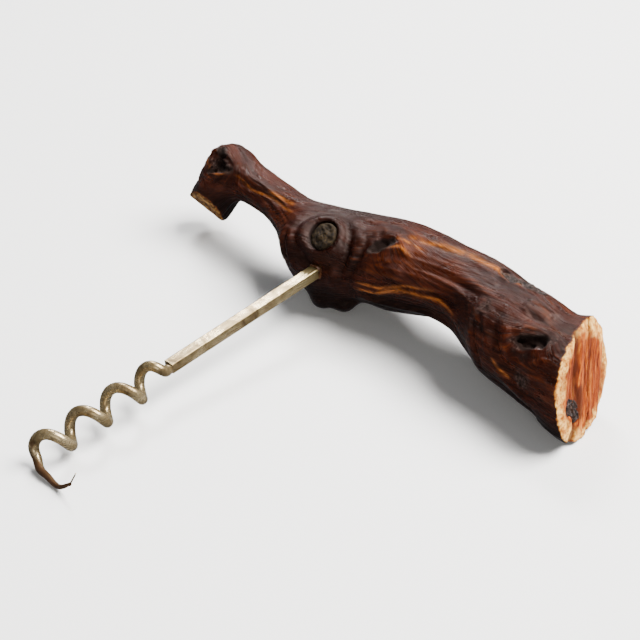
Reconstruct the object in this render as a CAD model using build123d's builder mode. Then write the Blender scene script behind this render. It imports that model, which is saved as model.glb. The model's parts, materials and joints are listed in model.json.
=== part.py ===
"""Direct-pull corkscrew: a steel worm and square shank glued into a handle of gnarled vine wood.

Frame: millimetres. +X runs along the handle towards its thick sawn end, -Y along the shank towards the
point and +Z is up. The tool lies on a table at Z = 0, as it is put down, with the origin under the
middle of its box.
"""

import os
from math import cos, radians, sin, tau

from build123d import *

os.makedirs("parts", exist_ok=True)

# ---------------------------------------------------------------- driving dimensions
# Where the shank leaves the wood. Every other place is measured from this point.
ROOT = Vector(-11.4, 33.1, 14.92)

# Steel: one bar, square where it is held, then drawn round and coiled.
BAR_SIDE = 3.2
BAR_EDGE = 0.4
SHANK_LENGTH = 53.0
SHANK_DROP = 5.85  # degrees that the shank slopes down from the handle towards the table
TANG_LENGTH = 19.0
WIRE_RADIUS = 1.4
POINT_RADIUS = 0.15
COIL_RADIUS = 3.2  # from the worm's axis to the middle of the wire
PITCH = 11.3
COIL_START = 54.5  # distance along the shank where the coil's first turn begins
COIL_TURNS = 3.5  # regular turns before the last one, which has been bent open
LEAD_IN_TURNS = 0.3  # the wire swings out from the shank to the coil's radius over this
STEPS_PER_TURN = 12

# The last turn: middle of the wire as (across, along, up) from the worm's axis at its root.
OPEN_TURN = [
    (-1.2, 95.2, -2.8),
    (1.2, 96.4, -3.6),
    (5.2, 96.8, -3.9),
    (10.2, 96.9, -3.9),
    (13.6, 96.0, -1.4),
    (15.6, 94.9, 2.6),
]

# Glue: fills the drilled hole round the square tang and stops just short of the surface.
HOLE_RADIUS = 2.4
HOLE_DEPTH = 20.0
GLUE_SET_BACK = 0.5

# Wood: middle of each section as (x, y, z) from ROOT, then half its depth and half its height.
LIMB = [
    (-50.0, 17.6, 5.6, 7.4, 7.2),
    (-43.0, 16.8, 5.4, 6.5, 6.2),
    (-36.0, 15.6, 5.2, 6.0, 5.8),
    (-28.0, 14.8, 4.4, 6.5, 6.3),
    (-21.0, 13.8, 2.8, 7.8, 7.6),
    (-16.0, 12.4, 1.0, 10.6, 10.4),
    (-8.0, 12.0, -0.8, 13.2, 13.4),
    (0.0, 13.2, -0.6, 13.8, 13.6),
    (8.0, 16.2, 0.6, 13.0, 12.8),
    (18.0, 17.8, 2.0, 12.8, 12.8),
    (32.0, 18.4, 4.0, 10.6, 10.8),
    (42.0, 18.2, 4.2, 10.8, 10.8),
    (52.0, 16.6, 2.0, 12.6, 12.6),
    (62.0, 14.8, 0.6, 13.4, 13.6),
    (72.0, 13.6, -0.4, 13.6, 13.8),
    (81.0, 12.6, -0.2, 14.2, 14.2),
    (96.0, 11.4, -0.2, 14.6, 14.3),
]
SAWN_POINT = (83.4, 13.1, 0.3)
SAWN_NORMAL = (0.957, 0.196, 0.213)

# The thin end turns down and forward into a short stub, sawn off flat.
ELBOW = (-53.6, 17.2, 5.4)
ELBOW_RADIUS = 8.0
STUB_END = (-58.4, 12.2, -7.2)
STUB_TOP_RADIUS = 7.8
STUB_END_RADIUS = 6.6
# The saw took a second, slanting slice off the stub's front.
SLICE_POINT = (-53.5, 7.8, -2.2)
SLICE_NORMAL = (-0.03, -0.875, -0.48)
SLICE_SIZE = 24.0

# A dead branch grown over by the burl: a loose round knot inside a swollen ring.
KNOT_POINT = (-0.8, 4.2, 10.3)
KNOT_NORMAL = (-0.10, -0.64, 0.76)
KNOT_RADIUS = 3.9
KNOT_GAP = 0.35
KNOT_LENGTH = 5.5
RING_RADIUS = 5.6
RING_THICKNESS = 2.2

# Rotted hollows in the wood, each an egg shape: middle, direction of its length, half length and radius.
HOLLOWS = [
    ((15.6, 8.6, 12.8), (1.0, 0.15, 0.0), 4.6, 2.2),
    ((72.0, 4.0, 9.6), (1.0, -0.2, 0.0), 4.2, 2.1),
    ((-51.4, 11.6, 11.4), (0.8, 0.3, 0.5), 3.6, 2.8),
]

# Bark caught in the wood: one seam along the top and one pocket open at the thick sawn end.
SEAM_FROM = (50.5, 19.8, 14.4)
SEAM_TO = (64.5, 18.8, 13.9)
SEAM_WIDTH = 2.8
SEAM_DEPTH = 3.0
POCKET_POINT = (86.1, 5.2, -4.6)
POCKET_LINE = (0.06, 0.58, -0.81)
POCKET_LENGTH = 9.0
POCKET_WIDTH = 4.6
POCKET_DEPTH = 5.0
POCKET_SET_BACK = 0.8


def at(x, y, z):
    """A place in the part's frame, given from where the shank leaves the wood."""
    return ROOT + Vector(x, y, z)


DROP = radians(SHANK_DROP)
ALONG = Vector(0, -cos(DROP), -sin(DROP))
UP = Vector(0, -sin(DROP), cos(DROP))


def on_axis(across, along, up):
    """A place given across, along and above the shank's axis."""
    return ROOT + Vector(across, 0, 0) + ALONG * along + UP * up


def coil_point(turn):
    """Middle of the wire after so many turns of the right-handed coil."""
    radius = COIL_RADIUS * min(1.0, 0.25 + 0.75 * turn / LEAD_IN_TURNS)
    return on_axis(radius * cos(tau * turn), COIL_START + PITCH * turn, radius * sin(tau * turn))


# ---------------------------------------------------------------- the steel, tang to point
coil_steps = int(COIL_TURNS * STEPS_PER_TURN)
coil_points = [coil_point(step / STEPS_PER_TURN) for step in range(coil_steps + 1)]
open_points = [on_axis(*place) for place in OPEN_TURN]
wire_start = on_axis(0.2, SHANK_LENGTH, -0.1)
open_tip_direction = open_points[-1] - open_points[-2]

with BuildPart() as worm_shank:
    # Square bar, from inside the handle to the end of the shank.
    with BuildSketch(Plane(origin=on_axis(0, -TANG_LENGTH, 0), x_dir=(1, 0, 0), z_dir=ALONG)):
        RectangleRounded(BAR_SIDE, BAR_SIDE, BAR_EDGE)
    extrude(amount=TANG_LENGTH + SHANK_LENGTH)

    # Round wire: the regular coil.
    with BuildLine() as coil_line:
        Spline([wire_start] + coil_points)
    with BuildSketch(Plane(origin=coil_line.line @ 0, z_dir=coil_line.line % 0)):
        Circle(WIRE_RADIUS)
    sweep(path=coil_line.line, is_frenet=False)

    # The last turn, bent open and ground down to the point.
    with BuildLine() as open_line:
        Spline([coil_line.line @ 1] + open_points, tangents=[coil_line.line % 1, open_tip_direction])
    with BuildSketch(Plane(origin=open_line.line @ 0, z_dir=open_line.line % 0)) as full_round:
        Circle(WIRE_RADIUS)
    with BuildSketch(Plane(origin=open_line.line @ 1, z_dir=open_line.line % 1)) as point_round:
        Circle(POINT_RADIUS)
    sweep(
        sections=[full_round.sketch, point_round.sketch],
        path=open_line.line,
        multisection=True,
    )

worm_shank.part.label = "worm_shank"

# ---------------------------------------------------------------- the vine-wood handle
KNOT_PLANE = Plane(origin=at(*KNOT_POINT), z_dir=KNOT_NORMAL)
SAWN_PLANE = Plane(origin=at(*SAWN_POINT), z_dir=SAWN_NORMAL)
POCKET_PLANE = Plane(origin=at(*POCKET_POINT), x_dir=POCKET_LINE, z_dir=SAWN_NORMAL)
SEAM_LINE = at(*SEAM_TO) - at(*SEAM_FROM)
SEAM_PLANE = Plane(origin=(at(*SEAM_FROM) + at(*SEAM_TO)) / 2, x_dir=SEAM_LINE, z_dir=(0, 0.25, 0.97))
STUB_LINE = at(*STUB_END) - at(*ELBOW)

with BuildPart() as vine_handle:
    # The limb, from the elbow to beyond the saw cut.
    for x, y, z, half_depth, half_height in LIMB:
        with BuildSketch(Plane(origin=at(x, y, z), x_dir=(0, 1, 0), z_dir=(1, 0, 0))):
            Ellipse(half_depth, half_height)
    loft()

    split(bisect_by=SAWN_PLANE, keep=Keep.BOTTOM)

    # The elbow and the stub that turns down from it.
    with Locations(at(*ELBOW)):
        Sphere(ELBOW_RADIUS)
    with BuildSketch(Plane(origin=at(*ELBOW), z_dir=STUB_LINE)):
        Circle(STUB_TOP_RADIUS)
    with BuildSketch(Plane(origin=at(*STUB_END), z_dir=STUB_LINE)):
        Circle(STUB_END_RADIUS)
    loft()
    with BuildSketch(Plane(origin=at(*SLICE_POINT), z_dir=SLICE_NORMAL)):
        Rectangle(SLICE_SIZE, SLICE_SIZE)
    extrude(amount=SLICE_SIZE / 2, mode=Mode.SUBTRACT)

    # Swollen ring round the dead branch.
    with Locations(KNOT_PLANE):
        Torus(RING_RADIUS, RING_THICKNESS)

    # Socket that the dead branch sits in.
    with BuildSketch(KNOT_PLANE):
        Circle(KNOT_RADIUS + KNOT_GAP)
    extrude(amount=2 * RING_THICKNESS, mode=Mode.SUBTRACT)
    with BuildSketch(KNOT_PLANE):
        Circle(KNOT_RADIUS + KNOT_GAP)
    extrude(amount=-KNOT_LENGTH, mode=Mode.SUBTRACT)

    # Rotted hollows.
    for middle, line, half_length, radius in HOLLOWS:
        hollow_plane = Plane(origin=at(*middle), x_dir=line, z_dir=Vector(*line).cross(Vector(0, 0, 1)))
        with BuildSketch(hollow_plane):
            Ellipse(half_length, radius)
            with Locations((0, -radius)):
                Rectangle(2 * half_length, 2 * radius, mode=Mode.SUBTRACT)
        revolve(axis=Axis(hollow_plane.origin, hollow_plane.x_dir), mode=Mode.SUBTRACT)

    # Room for the bark seam and the bark pocket.
    with BuildSketch(SEAM_PLANE):
        SlotOverall(SEAM_LINE.length, SEAM_WIDTH)
    extrude(amount=SEAM_DEPTH, both=True, mode=Mode.SUBTRACT)
    with BuildSketch(POCKET_PLANE):
        Ellipse(POCKET_LENGTH / 2, POCKET_WIDTH / 2)
    extrude(amount=-POCKET_DEPTH, mode=Mode.SUBTRACT)

    # Drilled hole for the tang.
    with BuildSketch(Plane(origin=on_axis(0, -HOLE_DEPTH, 0), z_dir=ALONG)):
        Circle(HOLE_RADIUS)
    extrude(amount=HOLE_DEPTH + 6, mode=Mode.SUBTRACT)

vine_handle.part.label = "vine_handle"

# ---------------------------------------------------------------- the dead branch in its socket
with BuildPart() as knot_stub:
    with BuildSketch(KNOT_PLANE):
        Circle(KNOT_RADIUS)
    extrude(amount=-KNOT_LENGTH)
    # Weathered end, slightly domed.
    with BuildSketch(KNOT_PLANE):
        Circle(KNOT_RADIUS)
    extrude(amount=0.6, taper=35)

knot_stub.part.label = "knot_stub"

# ---------------------------------------------------------------- bark caught in the wood
with BuildPart() as bark_seam:
    with BuildSketch(SEAM_PLANE.offset(-SEAM_DEPTH)):
        SlotOverall(SEAM_LINE.length, SEAM_WIDTH)
    extrude(amount=SEAM_DEPTH)

bark_seam.part.label = "bark_seam"

with BuildPart() as bark_pocket:
    with BuildSketch(POCKET_PLANE.offset(-POCKET_DEPTH)):
        Ellipse(POCKET_LENGTH / 2, POCKET_WIDTH / 2)
    extrude(amount=POCKET_DEPTH - POCKET_SET_BACK)

bark_pocket.part.label = "bark_pocket"

# ---------------------------------------------------------------- the glue round the tang
with BuildPart() as glue_fill:
    with BuildSketch(Plane(origin=on_axis(0, -HOLE_DEPTH, 0), z_dir=ALONG)):
        Circle(HOLE_RADIUS)
    extrude(amount=HOLE_DEPTH - GLUE_SET_BACK)
    with BuildSketch(Plane(origin=on_axis(0, -TANG_LENGTH, 0), x_dir=(1, 0, 0), z_dir=ALONG)):
        RectangleRounded(BAR_SIDE, BAR_SIDE, BAR_EDGE)
    extrude(amount=TANG_LENGTH, mode=Mode.SUBTRACT)

glue_fill.part.label = "glue_fill"

# ---------------------------------------------------------------- written files
for node in (vine_handle, knot_stub, bark_seam, bark_pocket, glue_fill, worm_shank):
    export_step(node.part, f"parts/{node.part.label}.step")
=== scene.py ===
"""Looks for the vine-wood corkscrew: sculpted wood, dead knot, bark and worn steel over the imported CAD."""

import json
import math

import bpy
import numpy as np
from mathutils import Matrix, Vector


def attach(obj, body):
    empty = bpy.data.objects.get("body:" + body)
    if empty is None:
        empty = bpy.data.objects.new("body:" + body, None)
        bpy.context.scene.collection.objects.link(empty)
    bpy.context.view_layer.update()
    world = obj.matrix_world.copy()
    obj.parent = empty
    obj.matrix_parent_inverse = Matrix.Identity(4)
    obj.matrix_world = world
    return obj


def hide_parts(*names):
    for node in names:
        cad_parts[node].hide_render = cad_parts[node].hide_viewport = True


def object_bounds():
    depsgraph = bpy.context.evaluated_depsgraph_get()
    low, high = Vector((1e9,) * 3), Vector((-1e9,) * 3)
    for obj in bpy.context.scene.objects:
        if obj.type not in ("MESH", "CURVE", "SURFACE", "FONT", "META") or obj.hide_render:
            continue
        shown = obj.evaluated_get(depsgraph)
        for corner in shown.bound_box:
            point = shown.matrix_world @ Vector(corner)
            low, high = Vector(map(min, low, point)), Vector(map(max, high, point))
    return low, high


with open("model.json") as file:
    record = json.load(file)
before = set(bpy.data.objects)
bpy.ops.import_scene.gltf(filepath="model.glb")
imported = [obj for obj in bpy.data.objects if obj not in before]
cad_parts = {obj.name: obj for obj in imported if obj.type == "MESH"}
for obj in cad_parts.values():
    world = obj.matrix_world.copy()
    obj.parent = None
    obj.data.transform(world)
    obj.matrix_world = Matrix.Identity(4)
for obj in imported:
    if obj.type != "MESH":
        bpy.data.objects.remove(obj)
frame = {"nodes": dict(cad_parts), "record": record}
CAD_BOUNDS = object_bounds()
NODES = frame["nodes"]
MOUNTS = {mount["name"]: mount for mount in frame["record"]["mounts"]}
MM = 0.001
rng = np.random.default_rng(7)


def unit(vector):
    """A vector's direction, with length 1."""
    vector = np.array(vector)
    return vector / np.linalg.norm(vector)


# ---------------------------------------------------------------- places, in millimetres
# Everything below is measured from ROOT, where the shank leaves the wood. The record's sawn face is at a
# known place from it.
SAWN = np.array([83.4, 13.1, 0.3])
SAWN_N = np.array(MOUNTS["sawn_end"]["axis"])
ROOT = np.array(MOUNTS["sawn_end"]["pos_m"]) / MM - SAWN
SHANK_DIR = np.array(MOUNTS["worm"]["axis"])
SHANK_UP = np.cross((1, 0, 0), -SHANK_DIR)

# Limb sections: x, then middle y and z, then half depth and half height.
LIMB = np.array([
    (-56.0, 18.0, 5.6, 7.6, 7.4),
    (-50.0, 17.8, 5.6, 7.3, 7.2),
    (-43.0, 16.8, 5.4, 6.4, 6.2),
    (-36.0, 15.6, 5.2, 6.0, 5.8),
    (-28.0, 14.8, 4.4, 6.2, 6.0),
    (-22.0, 14.0, 3.2, 7.2, 6.8),
    (-17.0, 12.8, 1.6, 9.2, 9.0),
    (-11.0, 12.2, -0.2, 12.2, 12.0),
    (-4.0, 12.6, -0.8, 13.4, 13.4),
    (3.0, 14.4, -0.2, 13.2, 13.2),
    (10.0, 16.8, 1.0, 12.8, 12.6),
    (18.0, 17.8, 2.0, 12.8, 12.8),
    (26.0, 18.2, 3.2, 11.8, 11.8),
    (34.0, 18.3, 4.2, 10.6, 10.8),
    (42.0, 18.2, 4.2, 10.8, 10.8),
    (50.0, 17.0, 2.4, 12.4, 12.4),
    (58.0, 15.4, 1.0, 13.4, 13.4),
    (66.0, 14.3, 0.1, 13.5, 13.8),
    (74.0, 13.2, -0.4, 13.6, 13.9),
    (82.0, 12.4, -0.3, 14.1, 14.0),
    (98.0, 11.4, -0.2, 14.6, 14.0),
])
ELBOW = np.array([-53.6, 17.2, 5.4])
STUB_END = np.array([-58.4, 12.2, -7.2])
STUB_N = unit(STUB_END - ELBOW)
SLICE = np.array([-53.5, 7.8, -2.2])
SLICE_N = unit([-0.03, -0.875, -0.48])
SLICE_END = -44.0  # the slice off the stub's side cuts nothing to the right of this x
KNOT = np.array([-0.8, 4.2, 10.3])
KNOT_N = unit([-0.10, -0.64, 0.76])
KNOT_RADIUS = 3.9
KNOT_DEPTH = 5.0
SOCKET_DEPTH = 4.2
RING_RADIUS = 5.6
RING_HEIGHT = 1.3
HOLE_DEPTH = 20.0
HOLE_SIZE = 1.90  # half of the shank hole's width at its mouth
FACE_MIDDLE = np.array([12.4, -0.2])  # y and z of the big sawn face
FACE_RADIUS = 14.2
TABLE_REFLECTION_START = 95.4  # how far out along the shank's axis the worm's painted brown reflection of the table starts
FIBRE_Y = 0.33  # with FIBRE_Z, the way the torn fibres run across the big sawn face
FIBRE_Z = 0.94
SECTION_STEP = 0.5  # the limb's sections are read every so often along x, and smoothed over SECTION_BLUR
SECTION_BLUR = 1.8
LIMB_START = -57.0
STUB_RADIUS = 8.2
STUB_TAPER = 1.5
ELBOW_REACH = 8.0  # rough radius of the elbow and the stub, to find their surface by

# Lumps that swell out of the limb: middle, radius, and how softly each one blends in.
LUMPS = [
    # under the burl
    ((-1.5, 5.6, -10.4), 3.6, 3.0),
    ((4.5, 8.0, -10.6), 3.0, 3.0),
    # flare of the sawn end
    ((85.0, 7.4, -6.4), 8.0, 4.0),
    ((84.0, 18.4, 6.2), 8.2, 4.0),
    # the burl's left cheek, and the foot of the thick end
    ((-10.5, 5.6, 4.0), 6.2, 3.0),
    ((63.0, 13.0, 3.0), 11.4, 5.0),
]

# Middle lines of the beds that hold the bark, and of the dark streak beside the bark in the sawn end.
TOP_BED = [(49.5, 19.4, 15.2), (57.5, 18.8, 15.3), (66.0, 18.0, 14.6)]
END_BED = [(86.8, 4.0, -2.2), (87.2, 6.6, -7.0)]
DARK_STREAK = [(84.4, 9.6, -1.6), (85.6, 8.6, -8.0)]

# The wood's grid: its spacing and its two corners. The field is worked out only near the surface, from
# SKIN_INSIDE under it to SKIN_OUTSIDE over it, but right through beyond the two DEEP_ENDS, which are cut.
GRID_STEP = 0.44
GRID_LOW = (-69.0, -4.0, -17.5)
GRID_HIGH = (91.0, 33.0, 21.0)
SKIN_OUTSIDE = 4.5
SKIN_INSIDE = 5.5
DEEP_ENDS = (-46.0, 76.0)
FAR = 5.0  # stands for every distance that isn't worked out
AT_ONCE = 200000  # points worked out together, to save memory


# ---------------------------------------------------------------- noise
LATTICE = rng.random((32, 32, 32)).astype(np.float32)


def noise(p, scale, shift):
    """Smooth value noise from -1 to 1 at points p, one lump per `scale` millimetres."""
    q = np.asarray(p, dtype=np.float32) / scale + shift
    low = np.floor(q).astype(int)
    t = q - low
    t = t * t * (3 - 2 * t)
    total = 0.0
    for corner in np.ndindex(2, 2, 2):
        weight = np.ones(q.shape[:-1], np.float32)
        for axis in range(3):
            weight = weight * (t[..., axis] if corner[axis] else 1 - t[..., axis])
        index = [(low[..., axis] + corner[axis]) % 32 for axis in range(3)]
        total = total + weight * LATTICE[index[0], index[1], index[2]]
    return 2 * total - 1


def fractal(p, scale, octaves, shift):
    """Several layers of noise, each half the size and half the strength of the one before."""
    total, strength = 0.0, 1.0
    for octave in range(octaves):
        total = total + strength * noise(p, scale / 2**octave, shift + 5.3 * octave)
        strength *= 0.5
    return total


def smooth_section(column):
    """One column of the limb's sections as a smooth curve of x."""
    xs = np.arange(-70.0, 110.0, SECTION_STEP)
    ys = np.interp(xs, LIMB[:, 0], LIMB[:, column])
    half = 8
    kernel = np.exp(-0.5 * (np.arange(-half, half + 1) * SECTION_STEP / SECTION_BLUR) ** 2)
    kernel /= kernel.sum()
    padded = np.pad(ys, half, mode="edge")
    return xs, np.convolve(padded, kernel, mode="valid")


SECTIONS = {column: smooth_section(column) for column in (1, 2, 3, 4)}


def limb_at(x):
    """Middle y, middle z, half depth and half height of the limb at x."""
    return [np.interp(x, *SECTIONS[column]) for column in (1, 2, 3, 4)]


def to_line(p, points):
    """Distance from points p to a broken line, and how far along the line (0 to 1) the nearest place is."""
    points = np.asarray(points, dtype=np.float32)
    lengths = np.linalg.norm(np.diff(points, axis=0), axis=1)
    best = np.full(p.shape[:-1], 1e9, np.float32)
    along = np.zeros(p.shape[:-1], np.float32)
    start = 0.0
    for a, b, length in zip(points[:-1], points[1:], lengths):
        t = np.clip(((p - a) @ (b - a)) / length**2, 0, 1)
        d = np.linalg.norm(p - (a + t[..., None] * (b - a)), axis=-1)
        nearer = d < best
        best = np.where(nearer, d, best)
        along = np.where(nearer, start + t * length, along)
        start += length
    return best, along / start


def off_line(p, points):
    """Distance from points p to a broken line."""
    return to_line(p, points)[0]


def smooth_min(a, b, k):
    """The smaller of a and b, blended where they differ by less than k: two solids joined softly."""
    h = np.clip(0.5 + 0.5 * (b - a) / k, 0, 1)
    return b * (1 - h) + a * h - k * h * (1 - h)


def smooth_max(a, b, k):
    """The larger of a and b, blended in the same way: what two solids share."""
    return -smooth_min(-a, -b, k)


# Ridges (height over 0) and grooves (under 0): height, width, then the points they run through.
STROKES = [
    # lips of the eye-shaped hollow
    (1.2, 1.6, [
        (10.2, 7.6, 9.4), (10.6, 11.5, 12.2), (13.5, 13.8, 13.8),
        (18.5, 13.6, 14.4), (23, 12, 13.5),
    ]),
    (0.9, 1.1, [
        (12.6, 6.4, 8.4), (16.9, 8.1, 10.3), (19.3, 10.2, 12.3),
        (21.7, 11.5, 12.8), (26.9, 10.7, 11.9),
    ]),
    # strands that sweep from under the burl along the thick half
    (0.8, 1.0, [
        (8.0, 3.3, -0.5), (13, 4.2, -1.6), (19, 5.6, -0.8),
        (27, 6.9, 2.6), (40, 7.8, 4.6), (49, 5.6, 3.0),
    ]),
    (0.4, 1.2, [
        (8.5, 3.8, 3.4), (14, 4.8, 4.4), (21, 6.4, 6.2),
        (29, 8.2, 8.2), (40, 9.0, 9.6), (52, 8.0, 11.0),
    ]),
    (0.35, 0.9, [(24, 9.2, 12.2), (34, 11.2, 12.8), (46, 11.4, 12.8), (58, 9.5, 12.6)]),
    (0.7, 1.0, [(10, 3.8, -5.0), (18, 5.4, -5.4), (28, 8.2, -3.6), (38, 9.4, -1.6), (47, 7.4, -2.4)]),
    (-0.5, 0.8, [(12, 4.2, 1.2), (20, 6.0, 2.6), (30, 7.6, 5.6), (42, 8.2, 7.0), (50, 6.6, 7.0)]),
    (-0.35, 0.5, [(14, 5.8, 7.2), (22, 8.0, 9.2), (32, 9.8, 10.8), (44, 10.2, 11.4), (54, 8.6, 12.0)]),
    (-1.2, 1.3, [(10, 3.6, -3.0), (19, 5.4, -3.2), (30, 8.6, -1.0), (40, 9.6, 1.0), (50, 6.6, 0.2)]),
    (-1.1, 1.5, [(4, 5.4, -9.8), (14, 7.6, -8.8), (26, 11, -6.6), (38, 12.4, -5.0), (48, 9.4, -7.0)]),
    # furrow along the top with the pale streak in it
    (-0.6, 0.7, [(24, 15.6, 14.8), (33, 16.6, 14.9), (40.3, 18.2, 15.0), (49.8, 19.4, 14.5)]),
    (0.6, 1.2, [(20, 19.0, 15.0), (32, 19.6, 14.8), (43, 20.6, 14.8), (50, 21.6, 13.8)]),
    # the left limb: long strands and the pale crack
    (-0.6, 0.45, [(-45.9, 11.4, 9.8), (-37.5, 10.9, 8.7), (-26, 10.2, 9.2), (-15.1, 7.4, 10.0)]),
    (0.6, 1.0, [(-47, 12.6, 11.0), (-37, 12.4, 10.4), (-26, 12.4, 10.6), (-16, 11.5, 12.4)]),
    (0.5, 1.0, [(-46, 10.2, 7.2), (-36, 9.6, 5.6), (-26, 8.6, 5.0), (-18, 5.6, 5.5)]),
    (-0.5, 0.8, [(-45, 10.0, 4.2), (-35, 9.6, 3.0), (-27, 8.8, 2.0), (-20, 6.8, 0.5)]),
    # bark-like folds at the burl's left edge
    (-1.3, 0.6, [(-13.6, 4.4, 7.6), (-13.2, 1.8, 3.6), (-11.6, 0.8, -1.4)]),
    (-1.1, 0.6, [(-11.4, 2.4, 8.0), (-10.8, 0.4, 3.8), (-9.4, -0.6, -1.0)]),
    (1.0, 0.9, [(-12.4, 3.2, 8.2), (-12.0, 0.8, 3.8), (-10.6, -0.2, -1.6)]),
    (0.8, 0.9, [(-10.0, 1.8, 7.0), (-9.4, -0.3, 3.0), (-7.6, -1.2, -2.4)]),
    # folds that gather between the ring and the eye
    (0.9, 1.7, [(1.5, 13.0, 13.6), (8.2, 10.0, 11.8), (10.4, 6.8, 8.4), (10.0, 4.4, 3.4)]),
    (-1.0, 1.0, [
        (0.5, 11.6, 13.4), (5.4, 8.6, 11.4), (8.2, 5.6, 7.4),
        (7.6, 3.3, 2.2), (8.6, 3.6, -2.6),
    ]),
    (-0.9, 1.1, [
        (8.6, 12.4, 12.8), (12.0, 8.6, 10.4), (11.6, 5.6, 6.0),
        (9.6, 4.2, 0.6), (10.1, 4.4, -3.1), (10.4, 7.0, -7.5),
    ]),
    (0.7, 1.3, [(4.4, 3.0, 5.0), (5.2, 2.0, 1.0), (5.6, 2.2, -4.4)]),
    (-0.7, 0.9, [(-4.4, 0.4, 4.4), (-1.6, 0.2, 1.8), (3.2, 1.2, 2.6), (6.8, 3.0, 4.6)]),
    (1.0, 3.2, [(14.0, 5.4, 4.6), (20.0, 6.6, 6.4), (27.0, 8.2, 7.0)]),
    (0.9, 1.1, [(2.0, 15.5, 13.8), (9.0, 15.6, 13.8), (17, 16.4, 14.8), (26, 17.0, 15.2)]),
    # raised lip below the bark in the top
    (0.7, 1.1, [
        (50.5, 17.4, 15.0), (57.8, 16.8, 14.4), (64.1, 15.8, 13.9),
        (67.0, 17.4, 13.3), (72.5, 18.1, 12.6),
    ]),
    (-0.6, 1.1, [(52.0, 14.4, 15.0), (59.0, 13.4, 14.6), (66.0, 12.8, 13.9), (72.0, 14.6, 13.0)]),
    # rim of the rough hole, and the swell that starts the thick end
    (1.0, 1.2, [(66.8, 4.4, 10.0), (70.5, 7.0, 12.4), (75.0, 8.4, 13.2), (78.0, 8.0, 12.6)]),
    (0.8, 1.1, [(67.0, 1.8, 7.2), (71.5, 1.8, 7.2), (76.5, 3.6, 9.2)]),
    (0.5, 1.8, [(52.5, 9.0, 12.4), (53.5, 4.6, 7.2), (55.5, 2.4, 0.5), (59, 3.2, -6.5)]),
    (-0.6, 1.4, [(60.0, 8.2, 12.8), (62.0, 3.6, 8.0), (66.0, 1.2, 3.6), (74.0, 0.4, 2.6)]),
    (0.7, 1.2, [(64.0, 1.2, 0.6), (70.0, -0.2, -2.6), (78.0, -0.4, -4.4)]),
    (0.9, 1.3, [
        (64.4, 5.4, 10.4), (66.0, 2.4, 6.4), (70.0, 0.6, 4.4),
        (76.0, 1.4, 5.8), (80.0, 3.4, 8.4),
    ]),
    (-0.9, 1.0, [(61.4, 5.0, 9.4), (63.6, 1.8, 4.6), (68.0, 0.0, 2.0), (76.0, 0.2, 3.4)]),
    (1.0, 2.4, [(64.0, 11.6, 13.8), (69.0, 12.4, 13.8), (73.0, 12.0, 13.6)]),
    (-0.7, 1.2, [(66.0, 9.4, 12.9), (72.0, 9.0, 12.8), (78.0, 9.6, 12.8), (81.0, 11.4, 13.2)]),
    (0.5, 0.6, [(49.0, 7.4, 9.6), (54.0, 4.8, 6.4), (57.0, 3.4, 1.6), (58.0, 3.2, -3.0)]),
    (-0.5, 0.6, [(50.4, 6.6, 9.0), (55.6, 4.0, 5.8), (58.8, 2.8, 1.0), (60.0, 2.6, -4.0)]),
    (0.4, 0.6, [(52.0, 8.6, 11.6), (57.0, 5.6, 9.6), (60.4, 3.6, 6.0), (62.0, 2.4, 1.0)]),
    (-0.8, 1.1, [(62.0, 2.4, -4.4), (70.0, 1.6, -6.6), (80.0, 1.4, -7.4)]),
    # rim of the hollow in the elbow
    (0.9, 0.9, [(-58.2, 10.6, 8.6), (-55.0, 9.2, 6.6), (-50.5, 9.8, 7.6), (-46.5, 11.2, 9.8)]),
    (0.9, 1.0, [(-58.2, 13.2, 11.8), (-54.0, 14.8, 13.0), (-48.5, 13.6, 11.8)]),
    # back and underside strands, seen only from behind
    (0.8, 1.4, [
        (-40, 21.6, 6.0), (-20, 21.0, 4.0), (0, 26.6, 2.0),
        (22, 30.4, 3.0), (46, 29.0, 3.0), (80, 26.4, 2.0),
    ]),
    (-0.9, 1.2, [
        (-46, 22.6, 3.0), (-22, 20.0, -1.0), (2, 24.4, -7.0),
        (24, 27.6, -5.0), (48, 26.0, -5.0),
    ]),
    (0.8, 1.4, [
        (-14, 16.0, -11.0), (6, 19.0, -11.8), (26, 21.0, -8.0),
        (48, 19.0, -9.6), (76, 16.0, -14.0),
    ]),
    (-0.8, 1.1, [(-10, 22.0, 8.0), (12, 27.5, 9.0), (32, 27.0, 10.0), (58, 26.0, 8.0), (78, 23.0, 9.0)]),
]
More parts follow.
